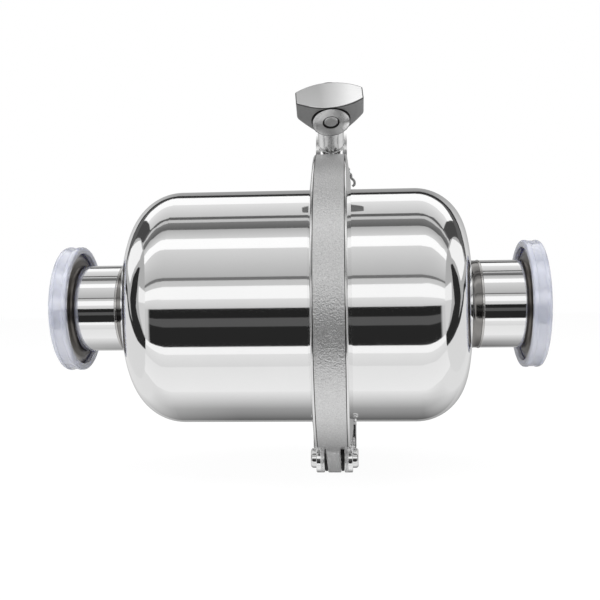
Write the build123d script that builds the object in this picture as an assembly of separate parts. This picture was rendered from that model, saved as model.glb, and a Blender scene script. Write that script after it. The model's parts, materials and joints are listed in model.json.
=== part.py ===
from build123d import *
import os
from math import asin, cos, radians, sin, tan

# Sanitary inline strainer, in millimetres.
# The flow axis is X. The origin is the centre of the outlet port's sealing face,
# and +X runs through the housing to the inlet port. +Z is up, the viewer stands at -Y.

# Lengths along the axis
outlet_face_to_joint = 117.0
inlet_face_to_joint = 87.5
outlet_crown_from_joint = 86.5
inlet_crown_from_joint = 57.0

# Housing shells
body_r = 50.8
body_wall = 2.0
knuckle_r = 21.5
port_tube_r = 19.05
port_wall = 1.65
neck_fillet = 4.0
neck_length = 6.0

# Port ferrules
port_flange_r = 25.25
port_flange_rim = 2.85
port_groove_r = 21.75
flange_cone_angle = 20.0
gasket_groove_radius = 1.35
flange_edge_fillet = 0.4
flange_root_fillet = 1.2

# Body ferrules and their gasket
body_flange_height = 8.7
body_flange_rim = 2.85
body_groove_height = 4.35
body_ferrule_length = 16.0
gasket_thickness = 1.8
gasket_inset = 0.7
bead_clearance = 0.1

# Basket
basket_r = 38.1
basket_wall = 1.2
basket_length = 75.0
basket_rim_overlap = 1.0
basket_rim_thickness = 2.3
basket_seat_clearance = 0.2
collar_wall = 2.0
collar_length = 9.0
mesh_wall = 0.4
weld_clearance = 0.05
end_cap_wall = 1.0
end_cap_skirt = 6.0
hole_r = 3.2
hole_columns = 14
hole_rows = 7
hole_row_pitch = 8.8
end_hole_r = 2.6
end_hole_ring_radii = (0.0, 12.5, 25.0)
end_hole_counts = (1, 6, 12)

# Snap caps
cap_face = 1.9
cap_depth = 5.7
cap_wall = 2.25
cap_clearance = 0.1
cap_edge_fillet = 1.2
cap_band_depth = 0.35
cap_band_width = 3.2
cap_dish_r = 19.0
cap_dish_depth = 0.6

# Clamp ring section
ring_wall = 6.1
ring_outer_half_width = 6.9
ring_inner_half_width = 8.6
ring_lip_gap = 2.0
ring_gap = 0.3
ring_floor_gap = 0.4
ring_edge_fillet = 1.1
front_top_end_angle = 6.0
front_bottom_end_angle = 8.0
rear_top_end_angle = 7.2
rear_bottom_end_angle = 7.0

# Hinge at the bottom
hinge_below_ring = 1.3
knuckle_hinge_r = 6.3
hinge_pin_r = 2.5
tongue_half_width = 2.9
hinge_side_gap = 1.4
hinge_ear_thickness = 3.7
hinge_ear_fillet = 0.5
hinge_root_gap = 0.8
hinge_cheek_half_width = 9.8
hinge_cheek_span = 27.0
hinge_cheek_fillet = 0.8
hinge_head_r = 4.3
hinge_head_height = 2.5
hinge_head_fillet = 1.2
shoulder_above_hinge = 10.5
notch_depth = 3.5
notch_edge_fillet = 0.6
knuckle_top_flat = 0.3

# Closure at the top
bolt_elevation = 31.0
pivot_back = 20.3
pivot_below_ring = 4.0
pivot_pin_r = 2.3
pivot_pin_half_length = 8.2
pivot_boss_r = 5.6
pivot_boss_half_width = 7.2
fork_slot_half_width = 5.0
fork_ear_depth = 5.35
fork_ear_rise = 31.0
fork_ear_foot = 38.0
fork_slot_depth = 6.6
fork_slot_front = 1.0
swing_gap = 0.35
eye_r = 5.2
eye_side_gap = 0.35
rear_slot_back = 6.3
rear_slot_bite = 1.0

# Swing bolt and wing nut, along the bolt from its pivot
bolt_r = 4.0
nut_seat_distance = 19.0
bolt_end_past_seat = 18.0
thread_clearance = 0.05
press_clearance = 0.02
running_clearance = 0.06
washer_r = 5.7
washer_thickness = 1.0
washer_gap = 0.1
bush_r = 5.7
bush_nose_fillet = 2.4
bush_spigot_r = 5.0
bush_length = 26.0
bush_bore_depth = 17.9
nut_height = 30.8
nut_hub_start = 16.4
nut_half_span = 14.1
nut_half_thickness = 7.5
nut_tip_half_thickness = 3.2
nut_shoulder_height = 22.2
nut_hub_half_width = 6.6
nut_hub_shoulder = 17.2
spot_face_r = 8.0
spot_face_centre = 22.5
spot_face_half_height = 7.7
lock_pin_r = 3.0
lock_pin_recess = 0.3
lock_hole_chamfer = 0.5
nut_edge_fillet = 0.7
nut_shoulder_fillet = 2.0
nut_angle = 4.5

# Sizes that follow from the ones above
joint_x = outlet_face_to_joint
body_bore_r = body_r - body_wall
body_flange_r = body_r + body_flange_height
body_groove_r = body_r + body_groove_height
gasket_outer_r = body_flange_r - gasket_inset
basket_rim_r = body_r + basket_rim_overlap
port_bore_r = port_tube_r - port_wall
cap_pocket_r = port_flange_r + cap_clearance
cap_r = cap_pocket_r + cap_wall
half_gasket = gasket_thickness / 2
cone = tan(radians(flange_cone_angle))
body_flange_back = half_gasket + body_flange_rim
body_weld = half_gasket + body_ferrule_length
ring_floor_r = body_flange_r + ring_floor_gap
ring_outer_r = ring_floor_r + ring_wall
ring_lip_r = body_r + ring_lip_gap
hinge_drop = ring_outer_r + hinge_below_ring
shoulder_drop = hinge_drop - shoulder_above_hinge
notch_floor_r = ring_outer_r - notch_depth
pivot_height = ring_outer_r - pivot_below_ring
fork_slot_floor = ring_outer_r - fork_slot_depth
hinge_ear_inner = tongue_half_width + hinge_side_gap
hinge_ear_outer = hinge_ear_inner + hinge_ear_thickness
basket_back = half_gasket + basket_rim_thickness
basket_end = half_gasket + basket_length
basket_bore_r = basket_r - basket_wall
nut_seat = Plane(
    origin=(
        joint_x,
        pivot_back - nut_seat_distance * cos(radians(bolt_elevation)),
        pivot_height + nut_seat_distance * sin(radians(bolt_elevation)),
    ),
    x_dir=(1, 0, 0),
    z_dir=(0, -cos(radians(bolt_elevation)), sin(radians(bolt_elevation))),
)

FAR = 200.0


def turned(outline):
    """Revolve a face, drawn as distance along X and radius, about the X axis."""
    return revolve(outline, axis=Axis.X)


def outlet_side(shape):
    """Place a shape drawn by its distance from the joint on the outlet side."""
    return Pos(joint_x, 0, 0) * mirror(shape, about=Plane.YZ)


def inlet_side(shape):
    """Place a shape drawn by its distance from the joint on the inlet side."""
    return Pos(joint_x, 0, 0) * shape


def at_inlet_port(shape):
    """Place a shape drawn by its distance inwards from the inlet sealing face."""
    return Pos(joint_x + inlet_face_to_joint, 0, 0) * mirror(shape, about=Plane.YZ)


def across(outline, half_width):
    """Extrude a YZ outline to both sides of the joint plane."""
    return Pos(joint_x, 0, 0) * extrude(Plane.YZ * outline, amount=half_width, both=True)


def side_pair(outline, inner, outer):
    """Extrude a YZ outline into two plates, one each side of the joint plane."""
    return across(outline, outer) - across(outline, inner)


def sector(start, end):
    """A fan from one angle to another in the YZ plane, measured from +Y towards +Z."""
    steps = max(2, round((end - start) / 45))
    spokes = [start + (end - start) * i / steps for i in range(steps + 1)]
    corners = [(FAR * cos(radians(a)), FAR * sin(radians(a))) for a in spokes]
    return make_face(Polyline((0, 0), *corners, close=True))


# Housing


def shell(crown):
    """A spun shell from its weld at the body ferrule to its drawn port neck."""
    outer = FilletPolyline(
        (body_weld, body_r),
        (crown, body_r),
        (crown, port_tube_r),
        (crown + neck_length, port_tube_r),
        radius=[knuckle_r, neck_fillet],
    )
    inner = FilletPolyline(
        (body_weld, body_bore_r),
        (crown - body_wall, body_bore_r),
        (crown - body_wall, port_bore_r),
        (crown + neck_length, port_bore_r),
        radius=[knuckle_r - body_wall, neck_fillet + port_wall],
    )
    ends = [
        Line((body_weld, body_bore_r), (body_weld, body_r)),
        Line((crown + neck_length, port_bore_r), (crown + neck_length, port_tube_r)),
    ]
    return turned(make_face([*outer.edges(), *inner.edges(), *[e.edge() for e in ends]]))


def port_ferrule(length):
    """A tube end with its clamp flange, drawn inwards from the sealing face."""
    cone_root = port_flange_rim + (port_flange_r - port_tube_r) * cone
    outline = make_face(
        Polyline(
            (0, port_bore_r),
            (0, port_flange_r),
            (port_flange_rim, port_flange_r),
            (cone_root, port_tube_r),
            (length, port_tube_r),
            (length, port_bore_r),
            close=True,
        )
    )
    rim = outline.vertices().filter_by(lambda v: v.Y > port_flange_r - 0.01)
    outline = fillet(rim, flange_edge_fillet)
    root = outline.vertices().filter_by(
        lambda v: abs(v.X - cone_root) < 0.01 and abs(v.Y - port_tube_r) < 0.01
    )
    outline = fillet(root, flange_root_fillet)
    outline -= Pos(0, port_groove_r) * Circle(gasket_groove_radius)
    return turned(outline)


def body_ferrule(seat_depth):
    """A large flange with its weld neck, drawn outwards from the joint plane."""
    cone_root = body_flange_back + (body_flange_r - body_r) * cone
    outline = make_face(
        Polyline(
            (half_gasket, body_bore_r),
            (half_gasket, body_flange_r),
            (body_flange_back, body_flange_r),
            (cone_root, body_r),
            (body_weld, body_r),
            (body_weld, body_bore_r),
            close=True,
        )
    )
    rim = outline.vertices().filter_by(lambda v: v.Y > body_flange_r - 0.01)
    outline = fillet(rim, flange_edge_fillet)
    outline -= Pos(half_gasket, body_groove_r) * Circle(gasket_groove_radius)
    if seat_depth > 0:
        seat_r = basket_rim_r + basket_seat_clearance
        outline -= Pos(half_gasket, 0) * Rectangle(2 * seat_depth, 2 * seat_r)
    return turned(outline)


def gasket():
    """A flat ring with a bead on each side that sits in the flange grooves."""
    middle_r = (gasket_outer_r + body_bore_r) / 2
    outline = Pos(0, middle_r) * Rectangle(gasket_thickness, gasket_outer_r - body_bore_r)
    for side in (-1, 1):
        bead = Circle(gasket_groove_radius - bead_clearance)
        outline += Pos(side * half_gasket, body_groove_r) * bead
    return turned(outline)


# Basket, drawn towards the outlet from the joint plane


def basket_rim():
    """The flange that sits in the outlet ferrule, with a collar round the tube."""
    collar_bore_r = basket_r + weld_clearance
    outline = make_face(
        Polyline(
            (half_gasket, basket_bore_r),
            (half_gasket, basket_rim_r),
            (basket_back, basket_rim_r),
            (basket_back, collar_bore_r + collar_wall),
            (basket_back + collar_length, collar_bore_r + collar_wall),
            (basket_back + collar_length, collar_bore_r),
            (basket_back, collar_bore_r),
            (basket_back, basket_bore_r),
            close=True,
        )
    )
    return turned(outline)


def basket_tube():
    """A rolled tube with staggered rows of round holes."""
    length = basket_end - basket_back
    tube = Cylinder(basket_r, length, rotation=(0, 90, 0)) - Cylinder(
        basket_bore_r, length, rotation=(0, 90, 0)
    )
    first_row = -hole_row_pitch * (hole_rows - 1) / 2
    drill = Cylinder(hole_r, 4 * basket_wall)
    holes = []
    for row in range(hole_rows):
        for column in range(hole_columns):
            turn = 360 / hole_columns * (column + 0.5 * (row % 2))
            along = first_row + row * hole_row_pitch
            holes.append(Rot(turn, 0, 0) * Pos(along, 0, basket_r - basket_wall / 2) * drill)
    return Pos((basket_back + basket_end) / 2, 0, 0) * (tube - holes)


def basket_mesh():
    """The fine liner, as a thin sleeve just inside the tube."""
    liner_r = basket_bore_r - weld_clearance
    length = basket_end - basket_back
    sleeve = Cylinder(liner_r, length, rotation=(0, 90, 0)) - Cylinder(
        liner_r - mesh_wall, length, rotation=(0, 90, 0)
    )
    return Pos((basket_back + basket_end) / 2, 0, 0) * sleeve


def basket_end_cap():
    """A pressed cap over the tube's end, with rings of round holes."""
    cap_bore_r = basket_r + weld_clearance
    outline = make_face(
        Polyline(
            (basket_end, 0),
            (basket_end, cap_bore_r),
            (basket_end - end_cap_skirt, cap_bore_r),
            (basket_end - end_cap_skirt, cap_bore_r + end_cap_wall),
            (basket_end + end_cap_wall, cap_bore_r + end_cap_wall),
            (basket_end + end_cap_wall, 0),
            close=True,
        )
    )
    cap = turned(outline)
    drill = Cylinder(end_hole_r, 4 * end_cap_wall, rotation=(0, 90, 0))
    holes = []
    for ring_r, count in zip(end_hole_ring_radii, end_hole_counts):
        for i in range(count):
            holes.append(Rot(360 / count * i, 0, 0) * Pos(basket_end, 0, ring_r) * drill)
    return cap - holes


# Snap caps


def snap_cap():
    """A soft cap over a port flange, drawn inwards from the sealing face."""
    outline = make_face(
        Polyline(
            (-cap_face, 0),
            (-cap_face, cap_r),
            (cap_depth, cap_r),
            (cap_depth, cap_pocket_r),
            (-cap_clearance, cap_pocket_r),
            (-cap_clearance, 0),
            close=True,
        )
    )
    rim = outline.vertices().filter_by(lambda v: v.Y > cap_r - 0.01)
    outline = fillet(rim, cap_edge_fillet)
    band_x = (cap_depth - cap_face) / 2
    outline -= Pos(band_x, cap_r) * Rectangle(cap_band_width, 2 * cap_band_depth)
    outline -= Pos(-cap_face, 0) * Rectangle(2 * cap_dish_depth, 2 * cap_dish_r)
    return turned(outline)


# Clamp ring


def flange_groove():
    """The V groove over the flanges, from its floor down past the ring's lips."""

    def half_width(radius):
        return body_flange_back + (body_flange_r - radius) * cone + ring_gap

    half = [(half_width(ring_floor_r), ring_floor_r), (half_width(body_r), body_r)]
    other = [(-x, r) for x, r in reversed(half)]
    return Pos(joint_x, 0, 0) * turned(make_face(Polyline(*half, *other, close=True)))


def ring():
    """The whole clamp ring before it is split."""
    half = [(ring_inner_half_width, ring_lip_r), (ring_outer_half_width, ring_outer_r)]
    other = [(-x, r) for x, r in reversed(half)]
    outline = make_face(Polyline(*half, *other, close=True))
    outline = fillet(outline.vertices(), ring_edge_fillet)
    return Pos(joint_x, 0, 0) * turned(outline) - flange_groove()


def eased(plates, radius):
    """Round every edge of flat plates that isn't along X."""
    return fillet(plates.edges().filter_by(Axis.X, reverse=True), radius)


def hinge_arm(side):
    """YZ outline from the ring's outer face to the hinge knuckle, to one side."""
    tangent = asin((ring_outer_r - knuckle_hinge_r) / hinge_drop)
    normal = (side * cos(tangent), -sin(tangent))
    on_ring = (ring_outer_r * normal[0], ring_outer_r * normal[1])
    on_knuckle = (knuckle_hinge_r * normal[0], knuckle_hinge_r * normal[1] - hinge_drop)
    arm = make_face(Polyline((0, 0), on_ring, on_knuckle, (0, -hinge_drop), close=True))
    arm += Pos(0, -hinge_drop) * Circle(knuckle_hinge_r)
    return arm - Circle(hinge_drop - knuckle_hinge_r + knuckle_top_flat)


def hinge_root():
    """YZ outline of the web between the ears, hollowed round the tongue's knuckle."""
    return hinge_arm(1) - Pos(0, -hinge_drop) * Circle(knuckle_hinge_r + hinge_root_gap)


def hinge_cheeks():
    """Pads that thicken the rear half's sides where the ears begin."""
    start = rear_bottom_end_angle - 90
    band = Circle(ring_outer_r - ring_edge_fillet) - Circle(ring_lip_r + ring_edge_fillet)
    pads = across(sector(start, start + hinge_cheek_span) & band, hinge_cheek_half_width)
    return eased(pads, hinge_cheek_fillet) - flange_groove()


def hinge_bore(radius):
    return across(Pos(0, -hinge_drop) * Circle(radius), FAR / 4)


def pivot_bore(radius):
    return across(Pos(pivot_back, pivot_height) * Circle(radius), FAR / 4)


def fork_ear():
    """YZ outline of a fork ear, its front face concentric with the swing pivot."""
    front_r = nut_seat_distance - swing_gap
    axis_angle = 180 - bolt_elevation
    fan = Pos(pivot_back, pivot_height) * sector(axis_angle - fork_ear_rise, axis_angle + fork_ear_foot)
    band = Circle(front_r) - Circle(front_r - fork_ear_depth)
    ear = fan & (Pos(pivot_back, pivot_height) * band)
    return ear - Circle(ring_floor_r)


def front_clamp_half(whole):
    """The hinged half, with the fork at the top and the tongue at the bottom."""
    fan = sector(90 - front_top_end_angle, 270 - front_bottom_end_angle)
    half = whole & across(fan, FAR / 4)
    below = Pos(0, -shoulder_drop - FAR / 2) * Rectangle(FAR, FAR)
    notch = side_pair(below - Circle(notch_floor_r), tongue_half_width, FAR / 4)
    half -= notch
    ledges = half.edges().filter_by(Axis.X).filter_by(lambda e: abs(e.center().Z + shoulder_drop) < 0.01)
    half = fillet(ledges.sort_by(Axis.Y)[:2], notch_edge_fillet)
    half += eased(across(hinge_arm(-1), tongue_half_width), hinge_ear_fillet)
    half += side_pair(fork_ear(), fork_slot_half_width, ring_outer_half_width)
    slot = Pos(FAR / 2 - fork_slot_front, FAR / 2 + fork_slot_floor) * Rectangle(FAR, FAR)
    half -= across(slot, fork_slot_half_width)
    return half - hinge_bore(hinge_pin_r + running_clearance)


def rear_clamp_half(whole):
    """The fixed half, with the bolt's clevis at the top and two ears at the bottom."""
    fan = sector(rear_bottom_end_angle - 90, 90 - rear_top_end_angle)
    half = whole & across(fan, FAR / 4)
    boss = Pos(pivot_back, pivot_height) * Circle(pivot_boss_r)
    half += side_pair(boss - Circle(ring_floor_r), fork_slot_half_width, pivot_boss_half_width)
    slot_end = pivot_back + rear_slot_back
    slot = Pos(slot_end - FAR / 2, FAR / 2) * Rectangle(FAR, FAR) - Circle(ring_floor_r - rear_slot_bite)
    half -= across(slot, fork_slot_half_width)
    half += hinge_cheeks()
    half += across(hinge_root(), hinge_ear_inner + hinge_ear_thickness / 2)
    half += eased(side_pair(hinge_arm(1), hinge_ear_inner, hinge_ear_outer), hinge_ear_fillet)
    half -= hinge_bore(hinge_pin_r + press_clearance)
    return half - pivot_bore(pivot_pin_r + press_clearance)


def hinge_pin():
    """A plain pin with a rounded head at each end."""
    head = Pos(0, 0, hinge_head_height / 2) * Cylinder(hinge_head_r, hinge_head_height)
    rim = head.edges().filter_by(GeomType.CIRCLE).sort_by(Axis.Z)[-1]
    head = fillet(rim, hinge_head_fillet)
    pin = Cylinder(hinge_pin_r, 2 * hinge_ear_outer, rotation=(0, 90, 0))
    for turn, side in ((90, 1), (-90, -1)):
        pin += Pos(side * hinge_ear_outer, 0, 0) * Rot(0, turn, 0) * head
    return Pos(joint_x, 0, -hinge_drop) * pin


def bolt_pivot_pin():
    """A pin through the clevis and the eye, with eased ends."""
    pin = Cylinder(pivot_pin_r, 2 * pivot_pin_half_length, rotation=(0, 90, 0))
    ends = pin.edges().filter_by(GeomType.CIRCLE)
    pin = fillet(ends, pivot_pin_r / 3)
    return Pos(joint_x, pivot_back, pivot_height) * pin


# Swing bolt and nut, drawn with Z along the bolt from the nut's seat


def swing_bolt():
    """An eye bolt with an eased end."""
    eye_half_width = fork_slot_half_width - eye_side_gap
    eye = Cylinder(eye_r, 2 * eye_half_width, rotation=(0, 90, 0))
    length = nut_seat_distance + bolt_end_past_seat
    shank = Pos(0, 0, length / 2) * Cylinder(bolt_r, length)
    tip = shank.edges().filter_by(GeomType.CIRCLE).sort_by(Axis.Z)[-1]
    shank = chamfer(tip, bolt_r / 4)
    bolt = eye + shank
    bolt -= Cylinder(pivot_pin_r + running_clearance, 4 * eye_half_width, rotation=(0, 90, 0))
    return nut_seat * (Pos(0, 0, -nut_seat_distance) * bolt)


def seat_washer():
    """The washer that the nut's nose bears on."""
    ring_face = Circle(washer_r) - Circle(bolt_r + thread_clearance)
    return nut_seat * extrude(ring_face, amount=washer_thickness)


def nut_bush():
    """The turned nose and spigot that carry the thread."""
    nose_start = washer_thickness + washer_gap
    neck = Pos(0, 0, (nose_start + nut_hub_start) / 2) * Cylinder(bush_r, nut_hub_start - nose_start)
    nose = neck.edges().filter_by(GeomType.CIRCLE).sort_by(Axis.Z)[0]
    neck = fillet(nose, min(bush_nose_fillet, (bush_r - bolt_r) * 0.9))
    spigot_length = bush_length - nut_hub_start
    bush = neck + Pos(0, 0, nut_hub_start + spigot_length / 2) * Cylinder(bush_spigot_r, spigot_length)
    bore = Cylinder(bolt_r + thread_clearance, bush_bore_depth)
    bush -= Pos(0, 0, nose_start + bush_bore_depth / 2) * bore
    bush -= Pos(0, 0, spot_face_centre) * Cylinder(
        lock_pin_r + press_clearance, 4 * bush_r, rotation=(90, 0, 0)
    )
    return nut_seat * (Rot(0, 0, nut_angle) * bush)


def wing_nut():
    """The cast wing, boat-shaped from its end, with a turned spot face each side."""
    tip = nut_tip_half_thickness
    lens = make_face(
        [
            ThreePointArc((-nut_half_span, tip), (0, nut_half_thickness), (nut_half_span, tip)).edge(),
            Line((nut_half_span, tip), (nut_half_span, -tip)).edge(),
            ThreePointArc((nut_half_span, -tip), (0, -nut_half_thickness), (-nut_half_span, -tip)).edge(),
            Line((-nut_half_span, -tip), (-nut_half_span, tip)).edge(),
        ]
    )
    lens = fillet(lens.vertices(), nut_edge_fillet)
    lens_bar = extrude(lens, amount=nut_height)
    side_view = make_face(
        Polyline(
            (-nut_half_span, nut_height),
            (nut_half_span, nut_height),
            (nut_half_span, nut_shoulder_height),
            (nut_hub_half_width, nut_hub_shoulder),
            (nut_hub_half_width, nut_hub_start),
            (-nut_hub_half_width, nut_hub_start),
            (-nut_hub_half_width, nut_hub_shoulder),
            (-nut_half_span, nut_shoulder_height),
            close=True,
        )
    )
    shoulders = side_view.vertices().filter_by(lambda v: abs(v.Y - nut_shoulder_height) < 0.01)
    side_view = fillet(shoulders, nut_shoulder_fillet)
    wing = lens_bar & extrude(Plane.XZ * side_view, amount=2 * nut_half_thickness, both=True)
    wing = fillet(wing.faces().sort_by(Axis.Z)[-1].edges(), nut_edge_fillet * 0.8)
    boss = Cylinder(spot_face_r, 2 * spot_face_half_height, rotation=(90, 0, 0))
    wing += Pos(0, 0, spot_face_centre) * boss
    wing &= Pos(0, 0, nut_height / 2) * Box(FAR, FAR, nut_height)
    wing -= Pos(0, 0, nut_hub_start / 2) * Cylinder(bush_r + press_clearance, nut_hub_start)
    socket_length = bush_length - nut_hub_start + press_clearance
    wing -= Pos(0, 0, nut_hub_start + socket_length / 2) * Cylinder(
        bush_spigot_r + press_clearance, socket_length
    )
    wing -= Pos(0, 0, spot_face_centre) * Cylinder(
        lock_pin_r + press_clearance, 4 * nut_half_thickness, rotation=(90, 0, 0)
    )
    mouths = wing.edges().filter_by(GeomType.CIRCLE).filter_by(
        lambda e: abs(abs(e.center().Y) - spot_face_half_height) < 0.01
        and abs(e.radius - lock_pin_r) < lock_hole_chamfer
    )
    wing = chamfer(mouths, lock_hole_chamfer)
    return nut_seat * (Rot(0, 0, nut_angle) * wing)


def nut_lock_pin():
    """The cross pin through the wing and the bush."""
    length = 2 * (spot_face_half_height - lock_pin_recess)
    pin = Cylinder(lock_pin_r, length, rotation=(90, 0, 0))
    pin = fillet(pin.edges().filter_by(GeomType.CIRCLE), lock_pin_r / 6)
    return nut_seat * (Rot(0, 0, nut_angle) * (Pos(0, 0, spot_face_centre) * pin))


def build():
    outlet_ferrule_length = outlet_face_to_joint - outlet_crown_from_joint - neck_length
    inlet_ferrule_length = inlet_face_to_joint - inlet_crown_from_joint - neck_length
    whole_ring = ring()
    return {
        "outlet_shell": outlet_side(shell(outlet_crown_from_joint)),
        "inlet_shell": inlet_side(shell(inlet_crown_from_joint)),
        "outlet_port_ferrule": port_ferrule(outlet_ferrule_length),
        "inlet_port_ferrule": at_inlet_port(port_ferrule(inlet_ferrule_length)),
        "outlet_body_ferrule": outlet_side(body_ferrule(basket_rim_thickness)),
        "inlet_body_ferrule": inlet_side(body_ferrule(0)),
        "body_gasket": inlet_side(gasket()),
        "basket_rim": outlet_side(basket_rim()),
        "basket_tube": outlet_side(basket_tube()),
        "basket_mesh": outlet_side(basket_mesh()),
        "basket_end_cap": outlet_side(basket_end_cap()),
        "rear_clamp_half": rear_clamp_half(whole_ring),
        "front_clamp_half": front_clamp_half(whole_ring),
        "hinge_pin": hinge_pin(),
        "bolt_pivot_pin": bolt_pivot_pin(),
        "swing_bolt": swing_bolt(),
        "seat_washer": seat_washer(),
        "wing_nut": wing_nut(),
        "nut_bush": nut_bush(),
        "nut_lock_pin": nut_lock_pin(),
        "outlet_cap": snap_cap(),
        "inlet_cap": at_inlet_port(snap_cap()),
    }


os.makedirs("parts", exist_ok=True)
for name, shape in build().items():
    export_step(shape, f"parts/{name}.step")
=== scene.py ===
import bmesh
import bpy
import json
import math
from mathutils import Matrix, Vector


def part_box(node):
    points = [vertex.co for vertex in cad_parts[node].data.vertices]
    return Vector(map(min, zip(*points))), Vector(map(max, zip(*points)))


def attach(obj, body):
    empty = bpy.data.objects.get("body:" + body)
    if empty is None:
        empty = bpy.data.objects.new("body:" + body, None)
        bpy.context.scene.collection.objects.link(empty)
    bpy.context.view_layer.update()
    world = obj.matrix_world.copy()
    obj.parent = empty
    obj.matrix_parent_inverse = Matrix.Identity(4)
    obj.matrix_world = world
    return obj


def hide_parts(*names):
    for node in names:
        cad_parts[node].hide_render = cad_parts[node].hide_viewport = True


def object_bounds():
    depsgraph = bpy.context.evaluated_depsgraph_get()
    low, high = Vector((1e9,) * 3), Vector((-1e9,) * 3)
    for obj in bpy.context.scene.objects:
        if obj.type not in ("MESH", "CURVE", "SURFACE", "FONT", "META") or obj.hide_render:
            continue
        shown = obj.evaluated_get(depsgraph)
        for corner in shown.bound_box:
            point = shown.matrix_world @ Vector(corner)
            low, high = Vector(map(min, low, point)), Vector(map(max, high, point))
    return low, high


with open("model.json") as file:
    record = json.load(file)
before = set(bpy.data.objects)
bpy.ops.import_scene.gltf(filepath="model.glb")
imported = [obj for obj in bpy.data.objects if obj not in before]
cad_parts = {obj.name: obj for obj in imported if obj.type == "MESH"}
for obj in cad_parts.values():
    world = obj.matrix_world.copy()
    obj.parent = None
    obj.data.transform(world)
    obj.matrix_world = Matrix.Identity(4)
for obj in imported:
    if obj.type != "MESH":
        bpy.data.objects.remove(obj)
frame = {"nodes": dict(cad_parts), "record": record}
cad_low, cad_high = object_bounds()
nodes = frame["nodes"]
MM = 0.001

# Where the CAD puts the joint plane, the inlet's face, the swing bolt and the wing nut, in metres
JOINT_X = 0.117
INLET_FACE_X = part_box("inlet_port_ferrule")[1].x
BOLT_ELEVATION = math.radians(31.0)
BOLT_ALONG = Vector((0.0, -math.cos(BOLT_ELEVATION), math.sin(BOLT_ELEVATION)))
BOLT_UP = Vector((0.0, math.sin(BOLT_ELEVATION), math.cos(BOLT_ELEVATION)))
BOLT_PIVOT = Vector((JOINT_X, 0.0203, 0.062))
NUT_SEAT_DISTANCE = 0.019
NUT_SEAT = BOLT_PIVOT + NUT_SEAT_DISTANCE * BOLT_ALONG
NUT_ANGLE = math.radians(4.5)
NUT_ACROSS = Vector((1, 0, 0)) * math.cos(NUT_ANGLE) + BOLT_UP * math.sin(NUT_ANGLE)
NUT_FRONT = Vector((1, 0, 0)) * math.sin(NUT_ANGLE) - BOLT_UP * math.cos(NUT_ANGLE)

# The wing nut's spot face and pin mouth, and the height of its chamfered corners above its seat
SPOT_CENTRE = 0.0225
SPOT_R = 0.0080
SPOT_HALF_HEIGHT = 0.0077
SPOT_RIM_START = 0.0060
PIN_MOUTH_R = 0.0033
PIN_MOUTH_START = 0.0070
CORNER_START = 0.0295

# The clamp ring, its fork and its hinge
RING_FACE_EDGE = 0.0060
RING_EDGE_R = 0.0630
FORK_BASE_Z = 0.0655
HINGE_Z = -0.0673
TONGUE_HALF_WIDTH = 0.0029
TONGUE_TOP_Z = -0.0595

# The necks, where the shell is rougher and painted dark as painted shade, the port flanges and the
# basket's liner
NECK_DRESSED_AND_SHADE_R = 0.0240
PORT_TUBE_R = 0.0191
PORT_FACE_R = 0.0186
PORT_FLANGE_DEPTH = 0.0068
FLANGE_RIM_DEPTH = 0.0008
FLANGE_ROOT_R = 0.0221
LINER_R = 0.0368
LINER_PITCH = 0.0006


# Shader expressions


class Wire:
    """A number in a material, which takes part in Python expressions."""

    def __init__(self, finish, socket):
        self.finish = finish
        self.socket = socket

    def calc(self, operation, *values, clamp=False):
        return self.finish.calc(operation, *values, clamp=clamp)

    def __add__(self, other):
        return self.calc("ADD", self, other)

    __radd__ = __add__

    def __sub__(self, other):
        return self.calc("SUBTRACT", self, other)

    def __rsub__(self, other):
        return self.calc("SUBTRACT", other, self)

    def __mul__(self, other):
        return self.calc("MULTIPLY", self, other)

    __rmul__ = __mul__

    def __truediv__(self, other):
        return self.calc("DIVIDE", self, other)

    def __abs__(self):
        return self.calc("ABSOLUTE", self)

    def above(self, edge, softness):
        """0 below the edge and 1 above it, over a soft width."""
        return self.calc("ADD", (self - edge) / softness, 0.5, clamp=True)

    def below(self, edge, softness):
        return 1 - self.above(edge, softness)

    def root(self):
        return self.calc("SQRT", self)

    def wave(self, period):
        """A ripple from 0 to 1 with the given period."""
        return self.calc("SINE", self * (2 * math.pi / period)) * 0.5 + 0.5


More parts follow.
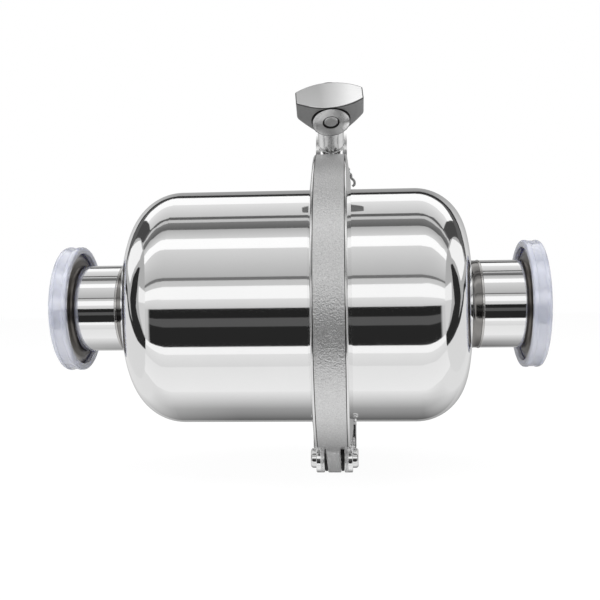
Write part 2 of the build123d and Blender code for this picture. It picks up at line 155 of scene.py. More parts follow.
class Finish:
    """A material under construction, or the world."""

    def __init__(self, name, family=bpy.data.materials):
        self.owner = family.new(name)
        self.owner.use_nodes = True
        self.tree = self.owner.node_tree
        self.tree.nodes.clear()

    def node(self, kind, settings=None, sockets=None):
        """Add a node from its type, its settings, and its sockets' values or links."""
        made = self.tree.nodes.new("ShaderNode" + kind)
        for key, value in (settings or {}).items():
            setattr(made, key, value)
        for key, value in (sockets or {}).items():
            source = value.socket if isinstance(value, Wire) else value
            if isinstance(source, bpy.types.NodeSocket):
                self.tree.links.new(source, made.inputs[key])
            else:
                made.inputs[key].default_value = source
        return made

    def calc(self, operation, *values, clamp=False):
        settings = {"operation": operation, "use_clamp": clamp}
        made = self.node("Math", settings, dict(enumerate(values)))
        return Wire(self, made.outputs[0])

    def place(self):
        """The point on the surface, in metres, at rest."""
        return self.node("TexCoord").outputs["Object"]

    def facing(self):
        """The surface's direction, carried with the piece."""
        return self.node("TexCoord").outputs["Normal"]

    def along(self, vector, direction, origin=Vector((0, 0, 0))):
        """How far a point lies along a direction from an origin."""
        made = self.node(
            "VectorMath", {"operation": "DOT_PRODUCT"}, {0: vector, 1: tuple(direction)}
        )
        return Wire(self, made.outputs["Value"]) - origin.dot(direction)

    def off_axis(self, place):
        """How far a point lies from the flow axis."""
        back = self.along(place, (0, 1, 0))
        up = self.along(place, (0, 0, 1))
        return (back * back + up * up).root()

    def girth(self, place, radius):
        """How far round the flow axis a point lies, measured at a radius."""
        back = self.along(place, (0, 1, 0))
        up = self.along(place, (0, 0, 1))
        return self.calc("ARCTAN2", up, back) * radius

    def stretched(self, vector, scale):
        """A place scaled by axis, so that noise on it runs in lines."""
        made = self.node("VectorMath", {"operation": "MULTIPLY"}, {0: vector, 1: scale})
        return made.outputs["Vector"]

    def noise(self, vector, scale, detail=2.0, roughness=0.5):
        made = self.node(
            "TexNoise",
            {},
            {"Vector": vector, "Scale": scale, "Detail": detail, "Roughness": roughness},
        )
        return Wire(self, made.outputs["Fac"])

    def pits(self, vector, scale):
        made = self.node("TexVoronoi", {}, {"Vector": vector, "Scale": scale})
        return Wire(self, made.outputs["Distance"])

    def blend(self, factor, first, second):
        """A colour between two colours by a mask; each may be a tuple or a link."""
        sockets = {0: factor}
        for index, value in ((6, first), (7, second)):
            sockets[index] = colour(value) if isinstance(value, tuple) else value
        return self.node("Mix", {"data_type": "RGBA"}, sockets).outputs[2]

    def bump(self, height, distance, strength=1.0):
        made = self.node(
            "Bump", {}, {"Height": height, "Distance": distance, "Strength": strength}
        )
        return made.outputs["Normal"]

    def surface(self, **sockets):
        """Close the material with a Principled surface; names use _ for a space."""
        named = {key.replace("_", " "): value for key, value in sockets.items()}
        shader = self.node("BsdfPrincipled", {}, named)
        self.node("OutputMaterial", {}, {"Surface": shader.outputs["BSDF"]})
        return self.owner


def grey(shade, warm=0.0):
    return (shade * (1 + warm), shade, shade * (1 - warm))


def colour(rgb):
    return (*rgb, 1.0)


# Finishes


def polished_shell():
    """Mirror-polished sheet with faint buffing lines, rougher where the neck's weld was dressed
    and painted dark there as painted shade.
    """
    finish = Finish("polished_shell")
    place = finish.place()
    # The neck's mask makes the sheet rougher where the weld was dressed, and paints it dark grey
    # as painted shade.
    neck = finish.off_axis(place).below(NECK_DRESSED_AND_SHADE_R, 0.0016)
    lines = finish.noise(finish.stretched(place, (6000.0, 120.0, 120.0)), 1.0, 3.0)
    cloud = finish.noise(place, 60.0, 3.0)
    ripple = finish.noise(place, 22.0, 1.0)
    sheet = finish.blend(cloud, grey(0.86), grey(0.90))
    return finish.surface(
        Base_Color=finish.blend(neck, sheet, grey(0.26, 0.03)),
        Metallic=1.0,
        Roughness=0.03 + lines * 0.03 + cloud * 0.02 + neck * 0.08,
        Normal=finish.bump(ripple, 0.00006, 0.5),
    )


def turned_ferrule():
    """Polished tube ends whose flange backs are turned and rougher, and painted darker as painted
    shade, darkest at their root.
    """
    finish = Finish("turned_ferrule")
    place = finish.place()
    length = finish.along(place, (1, 0, 0))
    depth = finish.calc("MINIMUM", length, INLET_FACE_X - length)
    radius = finish.off_axis(place)
    flange = radius.above(PORT_FACE_R, 0.0002) * depth.below(PORT_FLANGE_DEPTH, 0.0004)
    back = flange * depth.above(FLANGE_RIM_DEPTH, 0.0003)
    root = back * radius.below(FLANGE_ROOT_R, 0.0014)
    rings = radius.wave(0.00022)
    cloud = finish.noise(place, 160.0, 3.0)
    # Painted shade: the flange backs darker grey, and near-black in the recess at their root by
    # the tube.
    steel = finish.blend(back, grey(0.88), grey(0.54, 0.03))
    return finish.surface(
        Base_Color=finish.blend(root, steel, grey(0.13, 0.08)),
        Metallic=1.0,
        Roughness=0.05 + back * (0.20 + cloud * 0.1),
        Normal=finish.bump(rings * flange, 0.00002, 0.6),
    )


def blasted_clamp():
    """A cast ring blasted on its outer face, with polished sides and a dark line of painted shade
    along its edges.
    """
    finish = Finish("blasted_clamp")
    place = finish.place()
    side = abs(finish.along(finish.facing(), (1, 0, 0)))
    off_joint = abs(finish.along(place, (1, 0, 0), Vector((JOINT_X, 0, 0))))
    height = finish.along(place, (0, 0, 1))
    blasted = side.below(0.10, 0.08) * off_joint.below(RING_FACE_EDGE, 0.0003)
    fork = height.above(FORK_BASE_Z, 0.0006)
    grain = finish.noise(place, 2000.0, 3.0, 0.65)
    pits = finish.pits(place, 1300.0)
    cloud = finish.noise(place, 55.0, 2.0)
    ground = blasted * (1 - fork)
    # A thin dark line along the ring's edges, painted shade.
    edge = abs(off_joint - RING_FACE_EDGE).below(0.00018, 0.00010)
    low = height.below(TONGUE_TOP_Z, 0.0015)
    edge = edge * finish.off_axis(place).above(RING_EDGE_R, 0.0004) * (1 - fork) * (1 - low)
    matte = finish.blend(grain, grey(0.44), grey(0.98))
    skin = finish.blend(ground, grey(0.88), matte)
    return finish.surface(
        Base_Color=finish.blend(edge, skin, grey(0.10)),
        Metallic=1 - ground * 0.06 - ground * low * 0.5,
        Roughness=0.10 + ground * (0.12 + grain * 0.12) + fork * 0.10 + cloud * 0.04,
        Normal=finish.bump((grain * 0.6 + pits * 0.4) * ground, 0.00023, 0.9),
    )


# Depth of the wing nut's finest marks in metres, and how far its two machined faces lean
RELIEF = 0.00008
END_FACE_TWIST = 0.11
END_TWIST_START = 0.0030
END_TWIST_SOFTNESS = 0.014
SPOT_FACE_TWIST = 3400.0


def wing_nut_finish():
    """A satin end face, blasted flanks and a turned, polished spot face, with painted shade in the
    creases round the spot face and pin mouth and on the chamfered corners.
    """
    finish = Finish("wing_nut_finish")
    place = finish.place()
    facing = finish.facing()
    height = finish.along(place, BOLT_ALONG, NUT_SEAT)
    across = finish.along(place, NUT_ACROSS, NUT_SEAT)
    forward = finish.along(place, NUT_FRONT, NUT_SEAT)
    front = abs(forward)
    rise = height - SPOT_CENTRE
    radius = (across * across + rise * rise).root()
    along_bolt = finish.along(facing, BOLT_ALONG)
    end_face = along_bolt.above(0.96, 0.03)
    spot = abs(finish.along(facing, NUT_FRONT)).above(0.985, 0.01)
    spot = spot * front.above(SPOT_HALF_HEIGHT - 0.0002, 0.0001)
    rim = abs(radius - SPOT_R).below(0.00022, 0.0001) * front.above(SPOT_RIM_START, 0.0004)
    mouth = abs(radius - PIN_MOUTH_R).below(0.00030, 0.0001)
    mouth = mouth * front.above(PIN_MOUTH_START, 0.0002)
    # The rims of the spot face and pin mouth are painted near-black as painted shade.
    crease = finish.calc("MAXIMUM", rim, mouth)
    # The chamfered corners, picked out by which way they face, are painted dark as painted shade.
    corner = along_bolt.above(0.25, 0.10) * (1 - end_face) * height.above(CORNER_START, 0.0004)
    streaks = finish.noise(finish.stretched(place, (300.0, 2500.0, 2500.0)), 1.0, 3.0)
    grain = finish.noise(place, 1900.0, 3.0, 0.65)
    rings = radius.wave(0.00040)
    cast = (1 - end_face) * (1 - spot)
    leaning = across.above(END_TWIST_START, END_TWIST_SOFTNESS) * end_face
    twist = forward * leaning * (-END_FACE_TWIST / RELIEF)
    tone = finish.blend(grain, grey(0.23), grey(0.45))
    metal_and_shade = finish.blend(cast, grey(0.92), tone)
    metal_and_shade = finish.blend(corner, metal_and_shade, grey(0.16))
    relief = grain * cast * 0.9 + streaks * end_face * 0.05 + rings * spot * 0.15
    bow = across * rise * rise * spot * (SPOT_FACE_TWIST / RELIEF)
    return finish.surface(
        Base_Color=finish.blend(crease, metal_and_shade, grey(0.04)),
        Metallic=1.0,
        Roughness=0.08 + cast * 0.34 + end_face * (0.04 + streaks * 0.16) + crease * 0.3,
        Normal=finish.bump(relief + twist + bow, RELIEF),
    )


def bright_pin(name, dullness):
    """Turned bright steel for pins, bolt and washer, and a duller one for the bush."""
    finish = Finish(name)
    place = finish.place()
    lines = finish.noise(finish.stretched(place, (5000.0, 300.0, 300.0)), 1.0, 2.0)
    cloud = finish.noise(place, 400.0, 2.0)
    return finish.surface(
        Base_Color=finish.blend(cloud, grey(0.76), grey(0.86)),
        Metallic=1.0,
        Roughness=lines * 0.05 + dullness,
        Normal=finish.bump(lines, 0.000003, 0.3),
    )


def oiled_steel_and_shade(name, dark, light):
    """Oiled steel, grey on the pivot's clip; black on the hinge's spacers, which is painted shade
    in the gaps beside the tongue.
    """
    finish = Finish(name)
    place = finish.place()
    cloud = finish.noise(place, 500.0, 3.0)
    grain = finish.noise(place, 2600.0, 2.0)
    return finish.surface(
        Base_Color=finish.blend(cloud, grey(dark), grey(light)),
        Metallic=0.6,
        Roughness=0.34 + grain * 0.16,
        Normal=finish.bump(grain, 0.00003, 0.5),
    )


def welded_bead():
    """The dressed bead that joins a port ferrule's tube to its shell."""
    finish = Finish("welded_bead")
    place = finish.place()
    ripples = finish.girth(place, PORT_TUBE_R).wave(0.0011)
    cloud = finish.noise(place, 350.0, 2.0)
    return finish.surface(
        Base_Color=finish.blend(cloud, grey(0.50, 0.02), grey(0.66, 0.02)),
        Metallic=1.0,
        Roughness=0.12 + ripples * 0.06,
        Normal=finish.bump(ripples, 0.000008, 0.7),
    )


def rolled_sheet():
    """Satin perforated sheet of the basket."""
    finish = Finish("rolled_sheet")
    place = finish.place()
    lines = finish.noise(finish.stretched(place, (200.0, 4000.0, 4000.0)), 1.0, 3.0)
    return finish.surface(
        Base_Color=finish.blend(lines, grey(0.66), grey(0.76)),
        Metallic=1.0,
        Roughness=0.22 + lines * 0.12,
        Normal=finish.bump(lines, 0.00002, 0.5),
    )


def wire_cloth():
    """Woven wire cloth of the basket's liner."""
    finish = Finish("wire_cloth")
    place = finish.place()
    warp = finish.along(place, (1, 0, 0)).wave(LINER_PITCH)
    weft = finish.girth(place, LINER_R).wave(LINER_PITCH)
    weave = finish.calc("MAXIMUM", warp, weft)
    return finish.surface(
        Base_Color=finish.blend(weave, grey(0.16), grey(0.66)),
        Metallic=1.0,
        Roughness=0.30,
        Normal=finish.bump(weave, 0.00015, 0.8),
    )


def silicone():
    """Pale silicone rubber of the joint's gasket."""
    finish = Finish("silicone")
    cloud = finish.noise(finish.place(), 300.0, 2.0)
    return finish.surface(
        Base_Color=finish.blend(cloud, (0.84, 0.84, 0.80), (0.90, 0.90, 0.87)),
        Roughness=0.42 + cloud * 0.1,
        Normal=finish.bump(cloud, 0.00002, 0.3),
    )


def milky_cap():
    """Translucent milky polyethylene with soft sink marks."""
    finish = Finish("milky_cap")
    place = finish.place()
    cloud = finish.noise(place, 70.0, 2.0)
    fine = finish.noise(place, 900.0, 2.0)
    return finish.surface(
        Base_Color=finish.blend(cloud, (0.39, 0.41, 0.48), (0.48, 0.49, 0.56)),
        Roughness=0.30 + cloud * 0.08,
        Coat_Weight=1.0,
        Coat_Roughness=0.10,
        Coat_IOR=2.4,
        Normal=finish.bump(cloud * 0.7 + fine * 0.3, 0.00006, 0.5),
        Subsurface_Weight=0.5,
        Subsurface_Radius=(0.004, 0.004, 0.005),
        Subsurface_Scale=1.0,
        IOR=1.5,
    )


finishes = {
    "mirror_steel": polished_shell(),
    "turned_steel": turned_ferrule(),
    "cast_steel": blasted_clamp(),
    "pin_steel": bright_pin("bright_pin", 0.06),
    "perforated_steel": rolled_sheet(),
    "mesh_steel": wire_cloth(),
    "gasket_rubber": silicone(),
    "cap_plastic": milky_cap(),
}
by_node = {part["node"]: part["material_slot"] for part in frame["record"]["subparts"]}
own_finishes = {"wing_nut": wing_nut_finish(), "nut_bush": bright_pin("satin_bush", 0.19)}
for name, piece in nodes.items():
    for material_slot in piece.material_slots:
        material_slot.material = own_finishes.get(name, finishes[by_node[name]])


# Meshes

SAME_POINT = 1e-6
SHARP_ANGLE = math.radians(40)
SMALL_TURNS = 72


def clamped(value, low, high):
    return max(low, min(high, value))


def turn_about(outline, origin, direction, turns=160, centre=(0.0, 0.0)):
    """Turn a closed outline of (depth, radius) points, in mm, about an axis along the flow."""
    verts = []
    faces = []
    for step in range(turns):
        angle = 2 * math.pi * step / turns
        for depth, radius in outline:
            x = origin + direction * depth * MM
            back = centre[0] + radius * MM * math.cos(angle)
            up = centre[1] + radius * MM * math.sin(angle)
            verts.append((x, back, up))
    count = len(outline)
    for step in range(turns):
        after = (step + 1) % turns
        for i in range(count):
            j = (i + 1) % count
            corners = [step * count + i, step * count + j, after * count + j, after * count + i]
            faces.append(corners)
    return verts, faces


# The eye bolt: its eye as distance off the joint and radius, and its shank and thread, in mm
EYE_OUTLINE = [(-4.65, 2.36), (-4.65, 4.9), (-4.35, 5.2), (4.35, 5.2), (4.65, 4.9), (4.65, 2.36)]
BOLT_R = 4.0
BOLT_CHAMFER = 1.0
SHANK_START = 3.4
SHANK_END = 37.0
THREAD_START = 8.0
THREAD_PITCH = 1.25
THREAD_DEPTH = 0.68

# Shares of the pitch: half the crest's width, and a flank's width
THREAD_HALF_CREST = 0.0625
THREAD_FLANK = 0.3125


def threaded_shank(steps_a_turn=16, sides=48):
    """The bolt's shank, in rows that climb its thread. Rows past an end lie on that end."""
    rows = math.ceil(((SHANK_END - SHANK_START) / THREAD_PITCH + 1) * steps_a_turn)
    verts = []
    for row in range(rows + 1):
        off_crest = abs(row / steps_a_turn % 1.0 - 0.5)
        ridge = clamped(1 + (THREAD_HALF_CREST - off_crest) / THREAD_FLANK, 0.0, 1.0)
        for side in range(sides):
            climb = THREAD_PITCH * (row / steps_a_turn + side / sides - 1)
            distance = clamped(SHANK_START + climb, SHANK_START, SHANK_END)
            cut = THREAD_DEPTH * clamped(distance - THREAD_START, 0.0, 1.0)
            largest = BOLT_R - max(0.0, distance - SHANK_END + BOLT_CHAMFER)
            radius = min(largest, BOLT_R - cut * (1.0 - ridge)) * MM
            angle = 2 * math.pi * side / sides
            aside = Vector((1, 0, 0)) * math.cos(angle) + BOLT_UP * math.sin(angle)
            verts.append(BOLT_PIVOT + BOLT_ALONG * distance * MM + aside * radius)

    def number(row, side):
        """A point's number; past the last side comes the first one, a turn further on."""
        turn, side = divmod(side, sides)
        return min(row + turn * steps_a_turn, rows) * sides + side

    faces = [tuple(range(sides)), tuple(range(rows * sides, (rows + 1) * sides))]
    for row in range(rows):
        for side in range(sides):
            corners = [number(row, side), number(row, side + 1)]
            corners += [number(row + 1, side + 1), number(row + 1, side)]
            faces.append(tuple(dict.fromkeys(corners)))
    return verts, faces


def bent_wire(bends, radius, sides=14, steps=6):
    """Round wire, smooth through its bends, which share one depth behind the axis."""
    path = []
    last = len(bends) - 1
    for i in range(last):
        before, start, end, after = (
            Vector(bends[clamped(i + shift, 0, last)]) for shift in (-1, 0, 1, 2)
        )
        for step in range(steps):
            t = step / steps
            pull = (end - before) * t + (2 * before - 5 * start + 4 * end - after) * t**2
            path.append(start + (pull + (3 * start - before - 3 * end + after) * t**3) / 2)
    path.append(Vector(bends[last]))
    back = Vector((0, 1, 0))
    verts = []
    for i, point in enumerate(path):
        heading = (path[min(i + 1, len(path) - 1)] - path[max(i - 1, 0)]).normalized()
        aside = heading.cross(back)
        for side in range(sides):
            angle = 2 * math.pi * side / sides
            verts.append(point + (back * math.cos(angle) + aside * math.sin(angle)) * radius)
    faces = [tuple(range(sides)), tuple(range(len(verts) - sides, len(verts)))]
    for i in range(len(path) - 1):
        for side in range(sides):
            near = i * sides + side
            far = i * sides + (side + 1) % sides
            faces.append((near, far, far + sides, near + sides))
    return verts, faces


def in_scene(name, mesh, finish):
    """Put a mesh in the scene as an object with one finish."""
    made = bpy.data.objects.new(name, mesh)
    bpy.context.scene.collection.objects.link(made)
    mesh.materials.append(finish)
    return made


def make_piece(name, verts, faces, finish):
    """A smooth-shaded piece that faces outwards, with its doubled points joined."""
    mesh = bpy.data.meshes.new(name)
    mesh.from_pydata(verts, [], faces)
    mesh.validate()
    mesh.update()
    work = bmesh.new()
    work.from_mesh(mesh)
    bmesh.ops.remove_doubles(work, verts=work.verts, dist=SAME_POINT)
    bmesh.ops.dissolve_degenerate(work, edges=work.edges, dist=SAME_POINT / 10)
    bmesh.ops.recalc_face_normals(work, faces=work.faces)
    work.to_mesh(mesh)
    work.free()
    for polygon in mesh.polygons:
        polygon.use_smooth = True
    mesh.set_sharp_from_angle(angle=SHARP_ANGLE)
    return in_scene(name, mesh, finish)


# Snap caps, drawn as depth inwards from the port's sealing face and radius
CAP_OUTLINE = [
    (-1.30, 0.0),
    (-1.30, 18.4),
    (-1.45, 18.8),
    (-1.90, 19.3),
    (-1.90, 26.1),
    (-1.78, 26.7),
    (-1.45, 27.2),
    (-0.95, 27.5),
    (-0.40, 27.6),
    (0.00, 27.58),
    (0.20, 27.36),
    (0.45, 27.28),
    (3.35, 27.28),
    (3.60, 27.36),
    (3.80, 27.58),
    (4.60, 27.6),
    (5.10, 27.5),
    (5.45, 27.2),
    (5.64, 26.8),
    (5.70, 26.2),
    (5.70, 25.2),
    (5.62, 24.8),
    (5.35, 24.55),
    (4.80, 24.5),
    (3.85, 24.5),
    (3.50, 24.62),
    (3.30, 24.95),
    (3.20, 25.35),
    (-0.10, 25.35),
    (-0.10, 0.0),
]

for port, origin, direction in (("outlet", 0.0, 1), ("inlet", INLET_FACE_X, -1)):
    shape = turn_about(CAP_OUTLINE, origin, direction)
    cap = make_piece(port + "_snap_cap", *shape, finishes["cap_plastic"])
    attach(cap, port + "_cap")
    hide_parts(port + "_cap")

# Weld beads on the port necks, as depth each way from the seam and radius
BEAD_OUTLINE = [
    (-0.60, 18.7),
    (-0.55, 19.06),
    (-0.40, 19.20),
    (-0.20, 19.28),
    (0.00, 19.30),
    (0.20, 19.28),
    (0.40, 19.20),
    (0.55, 19.06),
    (0.60, 18.7),
]
bead_finish = welded_bead()
for port, end, direction in (("outlet", 0, 1), ("inlet", 1, -1)):
    seam_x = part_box(port + "_shell")[end].x
    shape = turn_about(BEAD_OUTLINE, seam_x, direction)
    bead = make_piece(port + "_neck_bead", *shape, bead_finish)
    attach(bead, "housing")

# Black spacers on the hinge pin, put in the gaps beside the tongue as painted shade, as depth out
# from the tongue's side and radius
SHADE_SPACER_OUTLINE = [(0.1, 2.55), (0.1, 5.4), (0.3, 5.7), (1.1, 5.7), (1.3, 5.4), (1.3, 2.55)]
shade_spacer_finish = oiled_steel_and_shade("blackened_spacer", 0.012, 0.035)
for label, direction in (("outlet", -1), ("inlet", 1)):
    side_x = JOINT_X + direction * TONGUE_HALF_WIDTH
    shape = turn_about(SHADE_SPACER_OUTLINE, side_x, direction, SMALL_TURNS, (0.0, HINGE_Z))
    shade_spacer = make_piece(label + "_hinge_spacer", *shape, shade_spacer_finish)
    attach(shade_spacer, "housing")

# The eye bolt: its eye round the pivot pin, and its shank
eye_centre = (BOLT_PIVOT.y, BOLT_PIVOT.z)
verts, faces = turn_about(EYE_OUTLINE, JOINT_X, 1, SMALL_TURNS, eye_centre)
shank_verts, shank_faces = threaded_shank()
faces += [tuple(corner + len(verts) for corner in face) for face in shank_faces]
eye_bolt = make_piece("eye_bolt", verts + shank_verts, faces, finishes["pin_steel"])
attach(eye_bolt, "swing_bolt")
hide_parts("swing_bolt")

# The hooked end of the pivot pin's clip, as distance off the joint and height in mm, and its
# wire's radius in metres
CLIP_BENDS = [
    (7.9, 61.6),
    (8.6, 60.9),
    (8.8, 59.4),
    (9.6, 58.6),
    (10.2, 57.6),
    (10.1, 56.3),
    (9.2, 55.6),
]
CLIP_WIRE_R = 0.00058
bends = [(JOINT_X + off * MM, BOLT_PIVOT.y, height * MM) for off, height in CLIP_BENDS]
spring_finish = oiled_steel_and_shade("spring_clip", 0.24, 0.38)
clip = make_piece("pivot_pin_clip", *bent_wire(bends, CLIP_WIRE_R), spring_finish)
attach(clip, "housing")


# Camera at the photograph's angle: place in metres, turns in radians, focal length in pixels
CAMERA_X = 0.12593
CAMERA_DISTANCE = 0.36614
CAMERA_YAW = 0.0642
CAMERA_PITCH = 0.0072
CAMERA_ROLL = 0.0115
FOCAL_PIXELS = 827.24
FRAME_PIXELS = 600
SENSOR = 36.0


def photo_camera():
    """Look along +Y, turned by the yaw, then the pitch, then the roll."""
    camera = bpy.data.objects.new("photo_camera", bpy.data.cameras.new("photo_camera"))
    camera.data.sensor_width = SENSOR
    camera.data.lens = FOCAL_PIXELS / FRAME_PIXELS * SENSOR
    right = Vector((1, 0, 0))
    down = Vector((0, 0, -1))
    forward = Vector((0, 1, 0))
    yaw = Matrix.Rotation(CAMERA_YAW, 3, Vector((0, 0, 1)))
    right, down, forward = yaw @ right, yaw @ down, yaw @ forward
    pitch = Matrix.Rotation(CAMERA_PITCH, 3, right)
    down, forward = pitch @ down, pitch @ forward
    roll = Matrix.Rotation(CAMERA_ROLL, 3, forward)
    right, down = roll @ right, roll @ down
    turn = Matrix((right, -down, -forward)).transposed()
    camera.matrix_world = Matrix.Translation((CAMERA_X, -CAMERA_DISTANCE, 0)) @ turn.to_4x4()
    bpy.context.scene.collection.objects.link(camera)
    bpy.context.scene.camera = camera


photo_camera()


# Studio: a pale floor, two soft lamps, and a tent of cards that polished steel mirrors

TENT_R = 1.2
TENT_HALF_LENGTH = 1.5
CARD_STEPS = 6


def glow(name, shade_from, shade_to, fade=None):
    """An unlit card finish, shaded across the card. A fade is from, to and the shade beyond."""
    finish = Finish(name)
    spot = finish.node("TexCoord").outputs["UV"]
    across = finish.along(spot, (1, 0, 0))
    shade = finish.blend(across, grey(shade_from), grey(shade_to))
    if fade:
        start, end, end_shade = fade
        off_joint = abs(finish.along(spot, (0, 1, 0)) - 0.5) * (2 * TENT_HALF_LENGTH)
        kept = off_joint.below((start + end) / 2, end - start)
        shade = finish.blend(kept, grey(end_shade), shade)
    light = finish.node("Emission", {}, {"Color": shade, "Strength": 1.0})
    finish.node("OutputMaterial", {}, {"Surface": light.outputs["Emission"]})
    return finish.owner


def hang_card(name, mesh, finish):
    """Hang a card where only polished steel sees it."""
    card = in_scene(name, mesh, finish)
    card.visible_camera = False
    card.visible_diffuse = False
    card.visible_shadow = False
    card.visible_transmission = False


def strip_card(name, rails, shade_from, shade_to=None, fade=None):
    """A glowing card between pairs of points, shaded from the first pair to the last."""
    shade_to = shade_from if shade_to is None else shade_to
    verts = [corner for pair in rails for corner in pair]
    last = len(rails) - 1
    faces = [(i, i + 1, i + 3, i + 2) for i in range(0, 2 * last, 2)]
    mesh = bpy.data.meshes.new(name)
    mesh.from_pydata(verts, [], faces)
    layer = mesh.uv_layers.new(name="across")
    for polygon in mesh.polygons:
        for loop_index in polygon.loop_indices:
            step, end = divmod(mesh.loops[loop_index].vertex_index, 2)
            layer.data[loop_index].uv = (step / last, end)
    hang_card(name, mesh, glow(name, shade_from, shade_to, fade))


def round_axis(degrees, along, radius=TENT_R):
    """A point of the tent, from its elevation in front and its distance from the joint."""
    angle = math.radians(degrees)
    return (JOINT_X + along, -radius * math.cos(angle), radius * math.sin(angle))


def tent_card(name, start, end, shade_from, shade_to=None, fade=None):
    """A long card bent round the flow axis, from one elevation to another."""
    turns = [start + (end - start) * step / CARD_STEPS for step in range(CARD_STEPS + 1)]
    rails = [
        (round_axis(turn, -TENT_HALF_LENGTH), round_axis(turn, TENT_HALF_LENGTH)) for turn in turns
    ]
    strip_card(name, rails, shade_from, shade_to, fade)


# The sweep's edge, in degrees above the horizon in front: the dark room's top, the edge's middle
# at the joint, how far it sinks to the end, and half its width; then the radii both hang at
EDGE_TOP = 134.5
EDGE_MIDDLE = 138.5
EDGE_SINK = 24.0
EDGE_HALF = 3.6
ROOM_R = 1.19
EDGE_R = 1.18


def sweep_edge(name, side, shade, radius, thin):
    """The thin edge of the paper sweep behind, or the dark room above it, sinking to the end."""
    rails = []
    for step in range(2 * CARD_STEPS + 1):
        share = step / (2 * CARD_STEPS)
        along = side * TENT_HALF_LENGTH * share
        middle = EDGE_MIDDLE + EDGE_SINK * share**2
        half = EDGE_HALF * (1 - 0.5 * share)
        top = middle - half if thin else EDGE_TOP
        rails.append((round_axis(top, along, radius), round_axis(middle + half, along, radius)))
    strip_card(name, rails, shade)


LAYER_GAP = 0.01


def end_patch(name, side, layer, shade, corners):
    """A flat patch on the tent's end wall; a higher layer hangs in front of a lower one."""
    x = JOINT_X + side * (TENT_HALF_LENGTH - LAYER_GAP * layer)
    verts = [(x, -forward, up) for forward, up in corners]
    mesh = bpy.data.meshes.new(name)
    mesh.from_pydata(verts, [], [tuple(range(len(corners)))])
    mesh.uv_layers.new(name="across")
    hang_card(name, mesh, glow(name, shade, shade))


# Fades: from and to in metres off the joint, and the shade beyond
APRON_END = (1.04, 1.22, 0.62)
ROOM_END = (0.99, 1.01, 0.07)
WALL_END = (0.25, 0.95, 0.70)
FLOOR_END = (0.20, 0.95, 0.80)

# Each card: name, from and to in degrees above the horizon in front, its shades and its fade
TENT = [
    ("front_apron", -37.5, -18.5, 0.022, 0.022, APRON_END),
    ("front_apron_sheen", -18.5, -10.5, 0.10, 0.10, APRON_END),
    ("front_apron_top", -10.5, -1.5, 0.018, 0.018, APRON_END),
    ("front_horizon", -1.5, 7.0, 0.66, 0.80),
    ("front_softbox", 7.0, 19.0, 1.05),
    ("front_wall_low", 19.0, 24.5, 0.62),
    ("front_seam", 24.5, 27.5, 0.17),
    ("front_wall", 27.5, 56.0, 0.50, 0.74),
    ("upper_softbox", 56.0, 67.5, 1.12),
    ("ceiling_front", 67.5, 78.5, 0.72, 0.48),
    ("ceiling_rib_front", 78.5, 88.0, 0.12, 0.22),
    ("ceiling_middle", 88.0, 92.0, 0.60),
    ("ceiling_rib_back", 92.0, 96.0, 0.12),
    ("ceiling_back", 96.0, 117.5, 0.62, 0.85, ROOM_END),
    ("back_softbox", 117.5, 135.0, 1.10, 1.10, ROOM_END),
    ("back_wall", 135.0, 180.0, 0.30, 0.46, WALL_END),
    ("front_floor_edge", -45.0, -37.5, 1.02),
    ("front_floor", -58.0, -45.0, 0.76, 0.84),
    ("floor_below", -88.0, -58.0, 0.92, 0.86),
    ("floor_back", -116.0, -88.0, 0.36, 0.88, FLOOR_END),
    ("floor_far", -150.0, -116.0, 0.10, 0.36, FLOOR_END),
    ("floor_end", -180.0, -150.0, 0.35, 0.35, FLOOR_END),
]
for card in TENT:
    tent_card(*card)

# Each end patch: name, layer, shade, and its corners as forward and up from the axis in metres
END_PATCHES = [
    ("end_room", 0, 0.46, [(-1.3, -1.3), (1.3, -1.3), (1.3, 1.3), (-1.3, 1.3)]),
    (
        "end_sweep",
        1,
        0.76,
        [(-1.3, 0.40), (-0.38, 0.16), (0.16, -0.31), (0.76, -0.93), (1.0, -1.3), (-1.3, -1.3)],
    ),
    (
        "end_edge",
        2,
        0.03,
        [
            (-1.3, 0.46),
            (-0.38, 0.22),
            (0.16, -0.24),
            (0.80, -0.88),
            (0.72, -0.98),
            (0.12, -0.36),
            (-0.38, 0.13),
            (-1.3, 0.36),
        ],
    ),
    (
        "end_shadow",
        3,
        0.025,
        [
            (0.40, 0.75),
            (0.46, 0.35),
            (0.42, 0.02),
            (0.74, -0.42),
            (0.98, -0.80),
            (0.80, -0.98),
            (0.22, -0.36),
            (0.05, -0.10),
            (-0.06, 0.12),
            (0.02, 0.40),
            (0.24, 0.70),
        ],
    ),
    (
        "end_window",
        3,
        1.0,
        [
            (-0.35, 1.1),
            (0.18, 1.1),
            (0.20, 0.86),
            (-0.02, 0.55),
            (-0.16, 0.30),
            (-0.8, 0.44),
            (-0.9, 0.66),
        ],
    ),
    ("end_glow", 1, 0.95, [(0.62, 0.10), (0.56, 0.42), (1.3, 0.42), (1.3, 0.10)]),
    ("end_glow_low", 1, 0.70, [(0.62, 0.10), (1.3, 0.10), (1.3, -0.9), (0.9, -0.62)]),
]
for side, label in ((-1, "outlet_"), (1, "inlet_")):
    sweep_edge(label + "back_room", side, 0.12, ROOM_R, False)
    sweep_edge(label + "sweep_edge", side, 0.03, EDGE_R, True)
    for name, layer, shade, corners in END_PATCHES:
        end_patch(label + name, side, layer, shade, corners)


FLOOR_GAP = 0.0003
FLOOR_Z = cad_low.z - FLOOR_GAP
FLOOR_HALF = 6.0
PAPER_GLOW = 1.04
PAPER_LIFT = 0.90


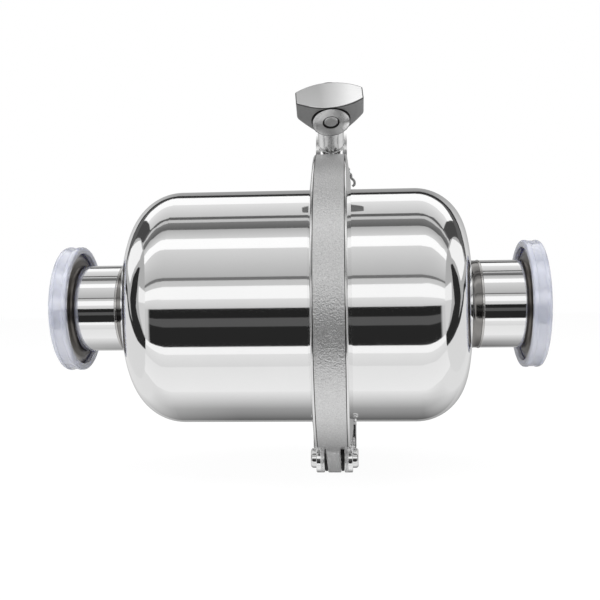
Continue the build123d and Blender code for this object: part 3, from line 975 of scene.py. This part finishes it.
def pale_floor():
    """A pale floor that the camera sees as white paper, with the object's shadow on it."""
    finish = Finish("pale_floor")
    mottle = finish.noise(finish.place(), 4.0, 2.0)
    paper = finish.node(
        "BsdfPrincipled",
        {},
        {
            "Base Color": finish.blend(mottle, grey(0.88), grey(0.90)),
            "Roughness": 0.9,
            "Specular IOR Level": 0.1,
        },
    )
    white = finish.node("Emission", {}, {"Color": colour(grey(1.0)), "Strength": PAPER_GLOW})
    seen = finish.node("LightPath").outputs["Is Camera Ray"]
    lifted = Wire(finish, seen) * PAPER_LIFT
    mixed = finish.node(
        "MixShader", {}, {0: lifted, 1: paper.outputs["BSDF"], 2: white.outputs["Emission"]}
    )
    finish.node("OutputMaterial", {}, {"Surface": mixed.outputs["Shader"]})
    mesh = bpy.data.meshes.new("pale_floor")
    corners = [(-1, -1), (1, -1), (1, 1), (-1, 1)]
    verts = [(JOINT_X + a * FLOOR_HALF, b * FLOOR_HALF, FLOOR_Z) for a, b in corners]
    mesh.from_pydata(verts, [], [(0, 1, 2, 3)])
    floor = in_scene("pale_floor", mesh, finish.owner)
    floor.visible_glossy = False


pale_floor()


def soft_lamp(name, place, aim, size, power):
    """A soft rectangular lamp that polished steel doesn't mirror."""
    lamp = bpy.data.objects.new(name, bpy.data.lights.new(name, "AREA"))
    lamp.data.shape = "RECTANGLE"
    lamp.data.size, lamp.data.size_y = size
    lamp.data.energy = power
    lamp.location = place
    lamp.rotation_mode = "QUATERNION"
    lamp.rotation_quaternion = (Vector(aim) - Vector(place)).to_track_quat("-Z", "Y")
    lamp.visible_glossy = False
    lamp.visible_camera = False
    bpy.context.scene.collection.objects.link(lamp)


soft_lamp("overhead_lamp", (JOINT_X, -0.35, 1.1), (JOINT_X, 0, 0), (1.6, 0.9), 14.0)
soft_lamp("front_lamp", (JOINT_X - 0.5, -1.3, 0.5), (JOINT_X, 0, 0), (1.0, 0.8), 8.0)


WORLD_FILL = 0.55


def studio_world():
    """White paper for the camera, and a plain soft fill for everything else."""
    world = Finish("studio_world", bpy.data.worlds)
    paper = colour(grey(1.0))
    fill = world.node("Background", {}, {"Color": paper, "Strength": WORLD_FILL})
    white = world.node("Background", {}, {"Color": paper, "Strength": 1.0})
    path = world.node("LightPath").outputs
    seen = world.calc("MAXIMUM", path["Is Camera Ray"], path["Is Transmission Ray"])
    backgrounds = {1: fill.outputs["Background"], 2: white.outputs["Background"]}
    mixed = world.node("MixShader", {}, {0: seen, **backgrounds})
    world.node("OutputWorld", {}, {"Surface": mixed.outputs["Shader"]})
    bpy.context.scene.world = world.owner


studio_world()
bpy.context.scene.view_settings.view_transform = "Standard"
